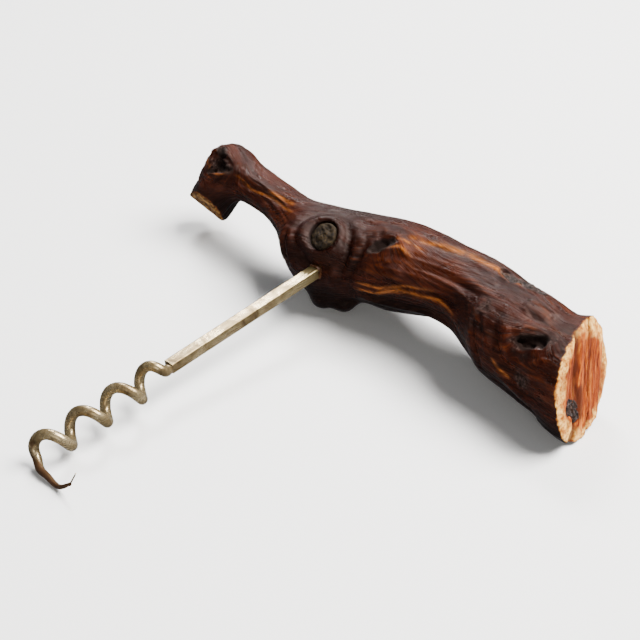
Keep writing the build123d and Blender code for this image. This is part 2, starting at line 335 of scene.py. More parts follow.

# Streaks where the varnish shows pale wood, and two painted highlights along lips: width, then the points
# they run through.
PALE_STREAKS_AND_HIGHLIGHTS = [
    (0.85, [
        (28.0, 16.2, 14.9), (33.0, 16.9, 14.9), (40.3, 18.4, 15.0),
        (50.0, 18.8, 14.6), (57.0, 17.2, 14.4),
    ]),
    (0.60, [(21.0, 15.0, 14.6), (27.0, 15.8, 14.9), (34.0, 17.6, 15.0)]),
    (0.30, [(-45.9, 11.4, 9.8), (-37.5, 10.9, 8.7), (-26, 10.2, 9.2), (-15.1, 7.4, 10.0)]),
    (0.36, [(10, 3.6, -1.6), (18.4, 5.6, -0.8), (26.5, 6.9, 3.0), (39.7, 7.8, 5.4), (47, 6.4, 4.2)]),
    (0.32, [(12, 3.6, 0.6), (20, 5.8, 1.4), (28, 7.4, 5.0), (38, 8.2, 7.2)]),
    (0.42, [(-31.0, 11.6, 9.9), (-25.0, 11.3, 10.0), (-17.5, 10.4, 10.4)]),
    (0.36, [(63.0, 1.6, 2.4), (66.1, 0.6, 0.4), (70.0, 0.2, -0.4)]),
    (0.35, [(-54.2, 9.3, 6.5), (-57.0, 11.4, 9.6), (-56.4, 14.6, 12.6)]),
    (0.35, [(-54.2, 9.3, 6.5), (-50.6, 10.0, 8.6), (-46.7, 11.7, 10.5)]),
    # painted highlight along the eye's lower lip
    (0.34, [
        (14.6, 7.2, 9.2), (16.9, 8.1, 10.3), (19.3, 10.2, 12.3),
        (21.7, 11.5, 12.8), (26.9, 10.7, 11.9),
    ]),
    (0.30, [(19.0, 13.0, 13.8), (24.0, 13.6, 14.0), (29.0, 13.4, 13.8)]),
    # painted highlight along the raised lip below the bark
    (0.35, [(50.0, 17.8, 14.8), (57.5, 16.6, 14.6), (66.0, 17.2, 14.4)]),
]

# Patches of rough dry wood with no gloss: middle and radius.
DRY_PATCHES = [
    # on the swell that starts the thick end
    ((55.0, 7.2, 10.7), 3.2),
    ((53.0, 6.0, 8.6), 2.2),
    # below and round the rough hole
    ((73.7, 0.4, 1.3), 3.0),
    ((69.6, 3.4, 8.8), 3.6),
    ((72.4, 2.8, 6.8), 2.8),
    ((76.4, 6.2, 11.4), 2.2),
    # the burl's left edge, and the elbow
    ((-12.6, 2.8, 5.0), 3.0),
    ((-11.4, 0.8, 0.8), 3.0),
    ((-52.8, 12.4, 9.8), 4.6),
]

# Hollows: the two ends of each one's middle line, its radius, and how strongly painted shade darkens it.
HOLLOWS = [
    # the eye
    ((14.6, 8.0, 10.3), (18.6, 11.2, 13.2), 1.0, 1.0),
    ((15.6, 9.0, 11.3), (16.8, 9.9, 12.1), 1.6, 1.0),
    # the rough hole
    ((69.6, 4.0, 9.2), (75.0, 5.8, 10.8), 1.1, 1.0),
    ((71.0, 3.8, 8.6), (72.6, 4.2, 8.8), 1.1, 1.0),
    ((74.2, 5.6, 10.2), (75.4, 5.4, 9.8), 1.1, 1.0),
    # the elbow: a shallow pale dish with light painted shade, then the pits in it with deep painted shade
    ((-54.2, 9.9, 7.6), (-54.6, 14.4, 12.6), 0.9, 0.3),
    ((-54.2, 14.6, 13.0), (-48.2, 12.4, 11.4), 0.9, 0.3),
    ((-53.4, 10.2, 8.2), (-47.6, 11.6, 10.6), 0.8, 0.3),
    ((-52.6, 12.0, 10.9), (-51.0, 11.9, 10.5), 1.5, 0.3),
    ((-54.3, 14.9, 12.8), (-53.2, 14.3, 12.4), 1.1, 1.0),
    ((-49.2, 11.6, 9.8), (-47.8, 11.6, 10.2), 0.9, 1.0),
    ((-52.6, 12.4, 10.0), (-51.4, 12.0, 9.8), 1.1, 1.0),
    ((-54.4, 10.2, 7.4), (-53.6, 10.4, 7.6), 0.8, 1.0),
]


def knot_place(p):
    """Distance of p from the knot's axis, and its height above the knot's face."""
    height = (p - KNOT) @ KNOT_N
    flat = p - KNOT - height[..., None] * KNOT_N
    return np.linalg.norm(flat, axis=-1), height


def stroke_shape(p, points, width, ends):
    """1 on the line through points, falling to 0 beside it, and over 1 / ends of its length at each end."""
    points = np.asarray(points, dtype=np.float32)
    near = np.all((p > points.min(0) - 2.6 * width) & (p < points.max(0) + 2.6 * width), axis=-1)
    shape = np.zeros(p.shape[:-1], np.float32)
    if near.any():
        d, along = to_line(p[near], points)
        shape[near] = np.clip(np.minimum(along, 1 - along) * ends, 0, 1) * np.exp(-((d / width) ** 2))
    return shape


def onto_surface(points, field):
    """The line through points, with extra points between them, moved onto the surface of a field."""
    points = np.asarray(points, dtype=float)
    points = np.concatenate([[a, (a + b) / 2] for a, b in zip(points[:-1], points[1:])] + [points[-1:]])
    nudge = 0.3
    for _ in range(5):
        value = field(points)
        slope = np.stack([field(points + nudge * e) - value for e in np.eye(3)], axis=-1) / nudge
        points = points - (value / (slope**2).sum(-1))[:, None] * slope
    return points


def wood_field(p):
    """The bare wood with its ridges, grooves, hollows and the ring grown round the knot."""
    solid = bare_wood(p)
    for height, width, points in SURFACE_STROKES:
        solid = solid - height * stroke_shape(p, points, width, 7)
    radius, height = knot_place(p)
    near = np.exp(-((height / 5.0) ** 2))
    solid = solid - RING_HEIGHT * near * np.exp(-(((radius - RING_RADIUS) / 1.6) ** 2))
    solid = solid + 0.5 * near * np.exp(-(((radius - RING_RADIUS - 2.9) / 0.9) ** 2))
    for a, b, reach, _ in HOLLOWS:
        d = off_line(p, [a, b])
        ragged = 0.55 * noise(p, 1.7, 8.0) + 0.20 * noise(p, 0.95, 2.0)
        solid = smooth_max(solid, reach + ragged - d, 0.5)
    return solid


def limb_distance(p):
    """Roughly the distance from the endless limb's surface, under 0 inside."""
    yc, zc, ry, rz = limb_at(p[..., 0])
    out = np.sqrt(((p[..., 1] - yc) / ry) ** 2 + ((p[..., 2] - zc) / rz) ** 2)
    return (out - 1) * (ry + rz) / 2


def bare_wood(p):
    """Roughly the distance from the wood's surface, under 0 inside. p is an array of points from ROOT."""
    limb = smooth_max(limb_distance(p), LIMB_START - p[..., 0], 4.0)
    # elbow and stub
    line = STUB_END - ELBOW
    t = np.clip(((p - ELBOW) @ line) / (line @ line), 0, 1.4)
    d = np.linalg.norm(p - (ELBOW + t[..., None] * line), axis=-1)
    stub = d - (STUB_RADIUS - STUB_TAPER * t)
    solid = smooth_min(limb, stub, 3.0)
    for centre, radius, blend in LUMPS:
        ball = np.linalg.norm(p - np.array(centre), axis=-1) - radius
        solid = smooth_min(solid, ball, blend)
    # uneven growth
    stretched = p * np.array([0.45, 1, 1])
    return solid - 0.65 * noise(stretched, 9.0, 1.7) - 0.22 * noise(stretched, 4.2, 4.1)


SURFACE_STROKES = [(height, width, onto_surface(points, bare_wood)) for height, width, points in STROKES]


def face_out(p):
    """How far out p is on the big sawn face: 0 at its middle, 1 at its rim."""
    return np.linalg.norm(p[..., 1:] - FACE_MIDDLE, axis=-1) / FACE_RADIUS


def torn_face(p):
    """Height of the torn fibres on the big sawn face."""
    y, z = p[..., 1] - SAWN[1], p[..., 2] - SAWN[2]
    along = FIBRE_Y * y + FIBRE_Z * z
    across = FIBRE_Z * y - FIBRE_Y * z
    wave = across + 0.9 * np.sin(along / 6.0) + 0.5 * noise(p, 5.0, 3.0)
    torn = 0.55 * np.exp(-(((wave - 1.0) / 0.5) ** 2)) - 1.1 * np.exp(-(((wave - 2.1) / 0.7) ** 2))
    torn = torn - 0.9 * np.exp(-(((wave + 4.6) / 1.2) ** 2)) + 0.3 * np.exp(-(((wave + 7.6) / 0.7) ** 2))
    fibres = np.stack([along * 0.14, across, 0 * along], axis=-1)
    return torn + 0.35 * noise(fibres, 1.0, 3.0) + 0.35 * noise(fibres, 2.6, 8.0)


def saw_cuts(p, solid):
    """The wood less what is cut from it. p and solid are the places and the wood's field there."""
    # both sawn ends and the slice
    rim = np.clip(face_out(p) - 0.86 + 0.08 * noise(p, 2.4, 4.0), 0, 0.2)
    solid = smooth_max(solid, (p - SAWN) @ SAWN_N - torn_face(p) + 3.0 * rim, 0.3)
    solid = smooth_max(solid, (p - STUB_END) @ STUB_N, 0.35)
    ragged = 0.18 * noise(p * np.array([1, 1, 0.4]), 1.0, 7.0)
    beyond = np.where(p[..., 0] < SLICE_END, (p - SLICE) @ SLICE_N + ragged, -50.0)
    solid = smooth_max(solid, beyond, 0.3)
    # the knot's socket
    radius, height = knot_place(p)
    wobble = 0.25 * noise(p, 1.6, 2.2) + 0.13 * (p[..., 1] - KNOT[1])
    socket = np.maximum(radius - (KNOT_RADIUS + 0.05) - np.clip(wobble, -0.05, 0.8), -(height + SOCKET_DEPTH))
    solid = smooth_max(solid, -socket, 0.25)
    # the shank's hole, nearly square
    aside = p - (p @ SHANK_DIR)[..., None] * SHANK_DIR
    across = np.abs(np.stack([aside[..., 0], aside @ SHANK_UP], axis=-1))
    mouth = 0.7 * across.max(-1) + 0.3 * np.linalg.norm(aside, axis=-1) - HOLE_SIZE
    solid = smooth_max(solid, -np.maximum(mouth, -(p @ SHANK_DIR) - HOLE_DEPTH), 0.25)
    # the beds of the bark
    d, along = to_line(p, TOP_BED)
    bed = 2.3 * np.sqrt(np.clip(4 * along * (1 - along), 0.02, 1)) + 0.8 * noise(p, 2.0, 6.0)
    solid = smooth_max(solid, bed - d, 0.4)
    bed = 2.2 + 0.7 * noise(p, 2.0, 9.0)
    return smooth_max(solid, bed - off_line(p, END_BED), 0.3)


# ---------------------------------------------------------------- turning the field into a mesh
def field_on_grid():
    """The finished wood's field at every point of the grid, or only FAR or -FAR far from the surface."""
    axes = [np.arange(a, b + GRID_STEP, GRID_STEP, dtype=np.float32) for a, b in zip(GRID_LOW, GRID_HIGH)]
    grid = np.stack(np.meshgrid(*axes, indexing="ij"), axis=-1)
    x = grid[..., 0]
    rough = limb_distance(grid)
    for middle in (ELBOW, STUB_END):
        ball = np.linalg.norm(grid - middle, axis=-1) - ELBOW_REACH
        rough = np.where(x < SLICE_END, np.minimum(rough, ball), rough)
    near_end = (x < DEEP_ENDS[0]) | (x > DEEP_ENDS[1])
    band = (rough < SKIN_OUTSIDE) & ((rough >= -SKIN_INSIDE) | near_end)
    points = grid[band]
    values = np.empty(len(points), np.float32)
    for start in range(0, len(points), AT_ONCE):
        part = points[start : start + AT_ONCE]
        values[start : start + AT_ONCE] = saw_cuts(part, wood_field(part))
    field = np.full(x.shape, FAR, np.float32)
    field[(rough < -SKIN_INSIDE) & ~near_end] = -FAR
    field[band] = values
    return field


def neighbours(axis):
    """Two slices of the grid that pair each point with the next one along an axis."""
    first = [slice(None)] * 3
    second = [slice(None)] * 3
    first[axis], second[axis] = slice(0, -1), slice(1, None)
    return tuple(first), tuple(second)


def cell_points(field):
    """One vertex in each cell that the surface crosses, the mean of the crossings on its edges, and the
    vertex's number in each cell."""
    cells = tuple(n - 1 for n in field.shape)
    total = np.zeros(cells + (3,), np.float32)
    count = np.zeros(cells, np.float32)
    for axis in range(3):
        others = [a for a in range(3) if a != axis]
        first, second = neighbours(axis)
        f0, f1 = field[first], field[second]
        cross = (f0 < 0) != (f1 < 0)
        t = np.where(cross, f0 / np.where(cross, f0 - f1, 1), 0)
        for da, db in np.ndindex(2, 2):
            window = [slice(None)] * 3
            window[others[0]] = slice(da, da + cells[others[0]])
            window[others[1]] = slice(db, db + cells[others[1]])
            window = tuple(window)
            hit = cross[window]
            place = np.zeros(cells + (3,), np.float32)
            place[..., axis] = t[window]
            place[..., others[0]] = da
            place[..., others[1]] = db
            total += place * hit[..., None]
            count += hit
    used = count > 0
    number = np.full(cells, -1, np.int64)
    number[used] = np.arange(used.sum())
    corner = np.stack(np.nonzero(used), axis=-1)
    return (corner + total[used] / count[used][:, None]) * GRID_STEP + np.array(GRID_LOW), number


def surface_net():
    """A closed quad mesh of the wood's surface, with one quad round each grid edge that it crosses."""
    field = field_on_grid()
    verts, number = cell_points(field)
    inside = field < 0
    quads = []
    for axis in range(3):
        b, c = [(1, 2), (2, 0), (0, 1)][axis]
        first, second = neighbours(axis)
        at = np.stack(np.nonzero(inside[first] != inside[second]), axis=-1)
        at = at[(at[:, b] > 0) & (at[:, c] > 0) & (at[:, b] < number.shape[b]) & (at[:, c] < number.shape[c])]
        outward = inside[tuple(at.T)]
        ring = []
        for db, dc in ((1, 1), (0, 1), (0, 0), (1, 0)):
            cell = at.copy()
            cell[:, b] -= db
            cell[:, c] -= dc
            ring.append(number[tuple(cell.T)])
        ring = np.stack(ring, axis=-1)
        quads.append(np.where(outward[:, None], ring, ring[:, ::-1]))
    return verts, np.concatenate(quads)


def vertex_normals(verts, quads):
    """Each vertex's normal, from the quads round it, larger ones counting for more."""
    a = verts[quads[:, 2]] - verts[quads[:, 0]]
    b = verts[quads[:, 3]] - verts[quads[:, 1]]
    face = np.cross(a, b)
    normal = np.zeros_like(verts)
    for corner in range(4):
        np.add.at(normal, quads[:, corner], face)
    return normal / np.maximum(np.linalg.norm(normal, axis=1, keepdims=True), 1e-12)


def relax(verts, quads, rounds, strength):
    """Evens out the grid's steps by moving each vertex towards the mean of its neighbours."""
    for _ in range(rounds):
        total = np.zeros_like(verts)
        count = np.zeros(len(verts))
        for corner in range(4):
            mine, other = quads[:, corner], quads[:, (corner + 1) % 4]
            np.add.at(total, mine, verts[other])
            np.add.at(total, other, verts[mine])
            np.add.at(count, mine, 1)
            np.add.at(count, other, 1)
        verts = verts + strength * (total / count[:, None] - verts)
    return verts


def on_cut(verts, normals, place, normal, reach, facing):
    """Which vertices lie within reach of a saw cut and face its way."""
    return (np.abs((verts - place) @ normal) < reach) & (normals @ normal > facing)


def make_object(name, verts, faces, material):
    """A mesh object from points in millimetres from ROOT."""
    mesh = bpy.data.meshes.new(name)
    mesh.from_pydata(((np.asarray(verts) + ROOT) * MM).tolist(), [], [tuple(f) for f in faces])
    mesh.update()
    mesh.polygons.foreach_set("use_smooth", [True] * len(mesh.polygons))
    mesh.materials.append(material)
    made = bpy.data.objects.new(name, mesh)
    bpy.context.scene.collection.objects.link(made)
    return made


def give_values(made, name, values):
    """Stores one number, or one vector, for each vertex for the material to read."""
    values = np.asarray(values, np.float32)
    kind = "FLOAT_VECTOR" if values.ndim == 2 else "FLOAT"
    layer = made.data.attributes.new(name, kind, "POINT")
    layer.data.foreach_set("vector" if values.ndim == 2 else "value", values.ravel())


# ---------------------------------------------------------------- materials
class Nodes:
    """Short hand for building a node material. Noise scales are lumps per unit, here per metre unless the
    vector is the grain, which is in millimetres. A ramp's stops are pairs of place and colour."""

    def __init__(self, name):
        self.material = bpy.data.materials.new(name)
        self.material.use_nodes = True
        self.tree = self.material.node_tree
        self.shader = self.tree.nodes["Principled BSDF"]

    def node(self, kind, inputs=(), **settings):
        made = self.tree.nodes.new(kind)
        for key, value in settings.items():
            setattr(made, key, value)
        for key, value in dict(inputs).items():
            self.put(made.inputs[key], value)
        return made

    def put(self, socket, value):
        """Links a socket to another one, or sets its value."""
        if isinstance(value, bpy.types.NodeSocket):
            self.tree.links.new(value, socket)
        else:
            socket.default_value = value

    def set(self, **values):
        """Fills the shader's own sockets, named with _ for a space."""
        for key, value in values.items():
            self.put(self.shader.inputs[key.replace("_", " ")], value)

    def attribute(self, name, output="Fac"):
        return self.node("ShaderNodeAttribute", attribute_name=name).outputs[output]

    def noise(self, vector, scale, detail=4.0, roughness=0.55, distortion=0.0):
        inputs = {"Vector": vector, "Scale": scale, "Detail": detail}
        inputs.update({"Roughness": roughness, "Distortion": distortion})
        return self.node("ShaderNodeTexNoise", inputs).outputs["Fac"]

    def scaled(self, vector, factors):
        return self.node("ShaderNodeMapping", {"Vector": vector, "Scale": factors}).outputs["Vector"]

    def ramp(self, value, stops):
        made = self.node("ShaderNodeValToRGB", {"Fac": value})
        while len(made.color_ramp.elements) < len(stops):
            made.color_ramp.elements.new(0.5)
        for element, (place, colour) in zip(made.color_ramp.elements, stops):
            element.position = place
            element.color = (*colour, 1.0)
        return made.outputs["Color"]

    def grey(self, value, low, high, to_low=0.0, to_high=1.0):
        """Maps value from low..high to to_low..to_high, and no further."""
        inputs = {"Value": value, "From Min": low, "From Max": high, "To Min": to_low, "To Max": to_high}
        return self.node("ShaderNodeMapRange", inputs).outputs["Result"]

    def math(self, operation, a, b):
        made = self.node("ShaderNodeMath", operation=operation)
        self.put(made.inputs[0], a)
        self.put(made.inputs[1], b)
        return made.outputs[0]

    def mix(self, factor, a, b):
        made = self.node("ShaderNodeMix", data_type="RGBA")
        self.put(made.inputs["Factor"], factor)
        self.put(made.inputs["A"], a)
        self.put(made.inputs["B"], b)
        return made.outputs["Result"]

    def bump(self, height, distance, strength):
        inputs = {"Height": height, "Distance": distance, "Strength": strength}
        self.set(Normal=self.node("ShaderNodeBump", inputs).outputs["Normal"])


def place_vector(n):
    """The place in the object's own frame, in metres."""
    return n.node("ShaderNodeTexCoord").outputs["Object"]


def wood_material():
    """Dark red-brown varnish over vine wood, with raw wood where it is sawn."""
    n = Nodes("varnished_vine")
    grain = n.attribute("grain", "Vector")
    hollow_shade = n.attribute("hollow_shade")
    worn = n.attribute("worn")
    pale_wood_and_highlight = n.attribute("pale_wood_and_highlight")
    raw = n.attribute("raw")
    broad = n.noise(n.scaled(grain, (0.05, 0.12, 0.12)), 1.0, 3.0)
    fibre = n.noise(n.scaled(grain, (0.10, 1.5, 1.5)), 1.0, 5.0, 0.6, 0.4)
    hair = n.noise(n.scaled(grain, (0.35, 6.0, 6.0)), 1.0, 3.0, 0.6)
    tone = n.math("ADD", n.math("MULTIPLY", broad, 0.55), n.math("MULTIPLY", fibre, 0.45))
    stops = [
        (0.34, (0.0050, 0.0007, 0.0003)),
        (0.46, (0.0140, 0.0018, 0.0005)),
        (0.55, (0.0320, 0.0046, 0.0010)),
        (0.68, (0.0700, 0.0130, 0.0024)),
    ]
    colour = n.ramp(tone, stops)
    colour = n.mix(n.grey(hair, 0.52, 0.68, 0.0, 0.6), colour, (0.0040, 0.0006, 0.0003, 1))
    colour = n.mix(n.grey(hair, 0.43, 0.34, 0.0, 0.30), colour, (0.13, 0.031, 0.0070, 1))
    gold = n.math("MULTIPLY", worn, n.grey(fibre, 0.40, 0.62))
    colour = n.mix(gold, colour, (0.16, 0.036, 0.0045, 1))
    # painted sheen: the burl is turned greyish brown
    burl = n.attribute("burl")
    colour = n.mix(n.math("MULTIPLY", burl, 0.65), colour, (0.0090, 0.0027, 0.0017, 1))
    # pale wood where the varnish is worn, and painted highlights along two lips
    streak = n.math("MULTIPLY", pale_wood_and_highlight, n.grey(hair, 0.38, 0.56, 0.10, 0.9))
    colour = n.mix(streak, colour, (0.44, 0.135, 0.022, 1))
    crumbs = n.noise(place_vector(n), 1500.0, 4.0, 0.7)
    dusty_stops = [
        (0.40, (0.003, 0.0014, 0.001)),
        (0.53, (0.025, 0.012, 0.009)),
        (0.66, (0.13, 0.090, 0.080)),
    ]
    dusty_colour = n.ramp(crumbs, dusty_stops)
    colour = n.mix(n.math("MULTIPLY", n.attribute("dull"), 0.75), colour, dusty_colour)
    # painted shade: the underside is darkened towards near black
    colour = n.mix(n.math("MULTIPLY", n.attribute("under"), 0.8), colour, (0.0028, 0.0006, 0.0003, 1))
    # painted shade: hollows, grooves, the gaps between strands and the knot's socket are darkened towards
    # near black
    colour = n.mix(n.grey(hollow_shade, 0.0, 1.0, 0.0, 0.95), colour, (0.005, 0.002, 0.0012, 1))
    # raw end grain: orange-tan with a pale rim and brown streaks
    turning = {"Vector": place_vector(n), "Rotation": (0.33, 0, 0)}
    turned = n.node("ShaderNodeMapping", turning).outputs["Vector"]
    sawn_streaks = n.noise(n.scaled(turned, (500.0, 1100.0, 130.0)), 1.0, 6.0, 0.66, 0.5)
    raw_stops = [
        (0.32, (0.035, 0.0038, 0.0003)),
        (0.43, (0.130, 0.0170, 0.0009)),
        (0.54, (0.250, 0.0460, 0.0022)),
        (0.66, (0.480, 0.1450, 0.0130)),
    ]
    raw_colour = n.ramp(sawn_streaks, raw_stops)
    rim = n.attribute("rim")
    crumbly = n.noise(place_vector(n), 900.0, 5.0, 0.7)
    rim_stops = [
        (0.38, (0.26, 0.068, 0.006)),
        (0.50, (0.62, 0.29, 0.052)),
        (0.62, (0.86, 0.56, 0.17)),
    ]
    rim_colour = n.ramp(crumbly, rim_stops)
    raw_colour = n.mix(n.math("MULTIPLY", rim, 0.85), raw_colour, rim_colour)
    # painted shade in the grooves of the torn fibres; the dark streak beside the bark is darkened too
    valley = n.math("MULTIPLY", n.attribute("valley"), 0.85)
    raw_colour = n.mix(valley, raw_colour, (0.050, 0.0080, 0.0010, 1))
    aged_stops = [
        (0.38, (0.016, 0.005, 0.001)),
        (0.50, (0.082, 0.035, 0.007)),
        (0.64, (0.24, 0.125, 0.033)),
    ]
    aged_colour = n.ramp(crumbly, aged_stops)
    raw_colour = n.mix(n.attribute("aged"), raw_colour, aged_colour)
    colour = n.mix(raw, colour, raw_colour)
    n.set(Base_Color=colour)
    rough = n.grey(n.noise(n.scaled(grain, (0.12, 0.3, 0.3)), 1.0, 3.0), 0.3, 0.7, 0.22, 0.42)
    rough = n.math("ADD", rough, n.math("MULTIPLY", n.attribute("dull"), 0.30))
    rough = n.math("ADD", rough, n.math("MULTIPLY", n.grey(hollow_shade, 0.5, 1.0), 0.40))
    rough = n.math("ADD", rough, n.math("MULTIPLY", n.attribute("under"), 0.12))
    rough = n.grey(raw, 0.0, 1.0, rough, 0.78)
    n.set(Roughness=rough, Specular_IOR_Level=0.20, Specular_Tint=(1.0, 0.80, 0.74, 1))
    height = n.math("ADD", n.math("MULTIPLY", fibre, 0.7), n.math("MULTIPLY", hair, 0.3))
    height = n.grey(raw, 0.0, 1.0, height, sawn_streaks)
    n.bump(height, 0.00050, 0.9)
    return n.material


def dead_wood_material():
    """Weathered grey-brown end of a dead branch."""
    n = Nodes("dead_wood")
    spot = place_vector(n)
    crumb = n.noise(spot, 2000.0, 6.0, 0.75)
    patch = n.noise(spot, 500.0, 3.0)
    stops = [
        (0.38, (0.0025, 0.0012, 0.0005)),
        (0.49, (0.0110, 0.0060, 0.0020)),
        (0.58, (0.026, 0.0150, 0.0048)),
        (0.70, (0.065, 0.042, 0.015)),
    ]
    tone = n.math("ADD", n.math("MULTIPLY", crumb, 0.7), n.math("MULTIPLY", patch, 0.3))
    n.set(Base_Color=n.ramp(tone, stops), Roughness=n.grey(crumb, 0.3, 0.7, 0.55, 0.85))
    n.set(Specular_IOR_Level=0.15)
    n.bump(crumb, 0.0004, 0.9)
    return n.material


def bark_material():
    """Crumbling purple-grey bark with brown dust between the crumbs."""
    n = Nodes("bark")
    spot = place_vector(n)
    crumb = n.noise(spot, 1100.0, 6.0, 0.75)
    patch = n.noise(spot, 450.0, 3.0)
    stops = [
        (0.40, (0.002, 0.001, 0.001)),
        (0.49, (0.014, 0.008, 0.006)),
        (0.57, (0.045, 0.030, 0.027)),
        (0.68, (0.16, 0.125, 0.118)),
    ]
    colour = n.ramp(crumb, stops)
    colour = n.mix(n.grey(patch, 0.5, 0.7, 0.0, 0.5), colour, (0.060, 0.020, 0.006, 1))
    n.set(Base_Color=colour, Roughness=n.grey(patch, 0.3, 0.7, 0.55, 0.85), Specular_IOR_Level=0.2)
    n.bump(crumb, 0.0006, 1.0)
    return n.material


def glue_material():
    """Hard amber-brown glue."""
    n = Nodes("glue")
    spot = place_vector(n)
    cloud = n.noise(spot, 700.0, 4.0)
    stops = [(0.3, (0.020, 0.007, 0.003)), (0.7, (0.090, 0.034, 0.010))]
    n.set(Base_Color=n.ramp(cloud, stops))
    n.set(Roughness=n.grey(cloud, 0.3, 0.7, 0.25, 0.5), Specular_IOR_Level=0.4)
    n.bump(cloud, 0.0003, 0.6)
    return n.material


def steel_material():
    """Nickel-plated steel, worn and warm, with a painted brown reflection of the table towards the point and
    a painted olive reflection of the wood near the root.
    """
    n = Nodes("plated_steel")
    spot = place_vector(n)
    blotch = n.noise(spot, 160.0, 5.0, 0.65, 0.8)
    speck = n.noise(spot, 1500.0, 4.0, 0.6)
    drawn = n.noise(n.scaled(spot, (2600.0, 60.0, 2600.0)), 1.0, 3.0)
    stops = [
        (0.34, (0.095, 0.062, 0.025)),
        (0.47, (0.21, 0.152, 0.074)),
        (0.60, (0.37, 0.290, 0.165)),
    ]
    colour = n.ramp(blotch, stops)
    colour = n.mix(n.grey(speck, 0.60, 0.74, 0.0, 0.55), colour, (0.16, 0.11, 0.06, 1))
    y = n.node("ShaderNodeSeparateXYZ", {"Vector": spot}).outputs["Y"]
    # painted reflection: the last turn towards the point is painted dark brown for the wooden table it
    # mirrors
    start_y = (ROOT[1] + TABLE_REFLECTION_START * SHANK_DIR[1]) * MM
    uneven_y = n.math("ADD", y, n.grey(blotch, 0.3, 0.7, -0.0008, 0.0008))
    table_reflection = n.grey(uneven_y, start_y - 0.0004, start_y + 0.0006, 0.92, 0.0)
    colour = n.mix(table_reflection, colour, (0.070, 0.028, 0.010, 1))
    # painted reflection: olive-gold near the root for the red-brown wood it mirrors
    root_y = ROOT[1] * MM
    wood_reflection = n.grey(y, root_y - 0.016, root_y - 0.001, 0.0, 0.6)
    colour = n.mix(wood_reflection, colour, (0.24, 0.19, 0.085, 1))
    rough = n.grey(blotch, 0.3, 0.7, 0.34, 0.20)
    rough = n.math("ADD", rough, n.grey(drawn, 0.4, 0.7, 0.0, 0.08))
    rough = n.math("ADD", rough, n.math("MULTIPLY", table_reflection, 0.22))
    n.set(Base_Color=colour, Roughness=rough, Metallic=0.74)
    n.bump(n.math("ADD", drawn, n.math("MULTIPLY", speck, 0.5)), 0.00006, 0.7)
    return n.material


WOOD = wood_material()
DEAD_WOOD = dead_wood_material()
BARK = bark_material()
GLUE = glue_material()
STEEL = steel_material()

# ---------------------------------------------------------------- the handle
verts, quads = surface_net()
verts = relax(verts, quads, 1, 0.5)
normals = vertex_normals(verts, quads)

x, y, z = verts.T
yc, zc, ry, rz = limb_at(x)

# What a saw left raw: the big face, whose torn fibres reach further from the cut, the stub and the slice.
sawn = on_cut(verts, normals, SAWN, SAWN_N, 3.0, 0.40)
sawn_stub = on_cut(verts, normals, STUB_END, STUB_N, 0.6, 0.55)
sliced = on_cut(verts, normals, SLICE, SLICE_N, 0.7, 0.5) & (x < SLICE_END + 4)
raw = (sawn | sawn_stub | sliced).astype(float)
section = face_out(verts)

# Grain runs along the limb and bends round the knot and the hollows.
angle = np.arctan2(z - zc, y - yc)
girth = angle * (ry + rz) / 2
radius, height = knot_place(verts)
bend = 3.4 * np.exp(-((radius / 6.5) ** 2)) * np.sign(verts[:, 0] - KNOT[0])
for a, b, _, _ in HOLLOWS:
    bend = bend + 2.2 * np.exp(-((off_line(verts, [a, b]) / 4.0) ** 2))
warp = 1.6 * noise(verts * np.array([0.5, 1, 1]), 11.0, 2.0)
grain = np.stack([x + 0.8 * noise(verts, 7.0, 6.0), girth + bend + warp, np.full_like(x, 3.0)], axis=-1)
turned = np.stack([grain[:, 0] * 0.07, np.cos(angle) * 11 + bend + warp, np.sin(angle) * 11], axis=-1)

# Fine relief: strands, hair-thin grooves, pits. The saw cuts get only fine fibres.
strand = 1 - np.abs(noise(turned, 2.6, 3.0))
fine = 1 - np.abs(noise(turned, 1.1, 7.0))
pits = np.clip(noise(verts, 1.3, 9.0) - 0.55, 0, 1)
dull = np.zeros(len(verts))
for middle, reach in DRY_PATCHES:
    d = np.linalg.norm(verts - np.array(middle), axis=-1) + 1.6 * fractal(verts, 2.2, 2, 2.6)
    dull = np.maximum(dull, np.clip(1.5 - 1.5 * d / reach, 0, 1))
ring = np.exp(-(((radius - RING_RADIUS) / 2.4) ** 2)) * (np.abs(height) < 4)
burl = np.exp(-(((x + 1) / 11) ** 2))
smoother = 1 - np.clip(0.8 * ring + 0.5 * burl, 0, 0.85)
relief = 0.30 * (strand**2 - 0.45) + 0.20 * (fine**2 - 0.45)
relief = relief * smoother - 0.5 * pits * (0.1 + dull) + 0.30 * dull * noise(verts, 0.9, 5.5)
face_fibre = 0.16 * noise(verts * np.array([0.3, 1.4, 0.25]), 0.9, 5.0)
verts = verts + normals * np.where(raw > 0, face_fibre, relief)[:, None]
normals = vertex_normals(verts, quads)

# What the wood's material reads: painted shade in hollows, grooves, gaps between strands and the knot's
# socket (hollow_shade), painted shade on the underside (under) and in the grooves of the torn fibres, with
# the dark streak (valley), where a cut is old (aged), where the varnish is worn to gold (worn), where it is
# worn to pale wood or carries a painted highlight (pale_wood_and_highlight), and where a cut has its pale rim
# (rim). raw, dull, burl and grain are worked out above; burl also carries a painted greyish sheen.
groove = np.zeros(len(verts))
crest = np.zeros(len(verts))
for stroke, width, points in SURFACE_STROKES:
    shape = stroke_shape(verts, points, width, 5) * min(1.0, abs(stroke))
    if stroke < 0:
        groove = np.maximum(groove, shape)
    else:
        crest = np.maximum(crest, shape)
# painted shade in the hollows, the grooves, the gaps between strands and the knot's socket
hollow_shade = np.zeros(len(verts))
for a, b, reach, shade_strength in HOLLOWS:
    d = off_line(verts, [a, b])
    hollow_shade = np.maximum(hollow_shade, shade_strength * np.clip((reach + 0.9 - d) / 0.6, 0, 1))
# painted shade: darker towards the underside of the limb
under = np.clip((zc - 1 - z) / 7, 0, 1)
hollow_shade = np.clip(hollow_shade + groove * 0.5 + (1 - strand) * 0.25, 0, 1)
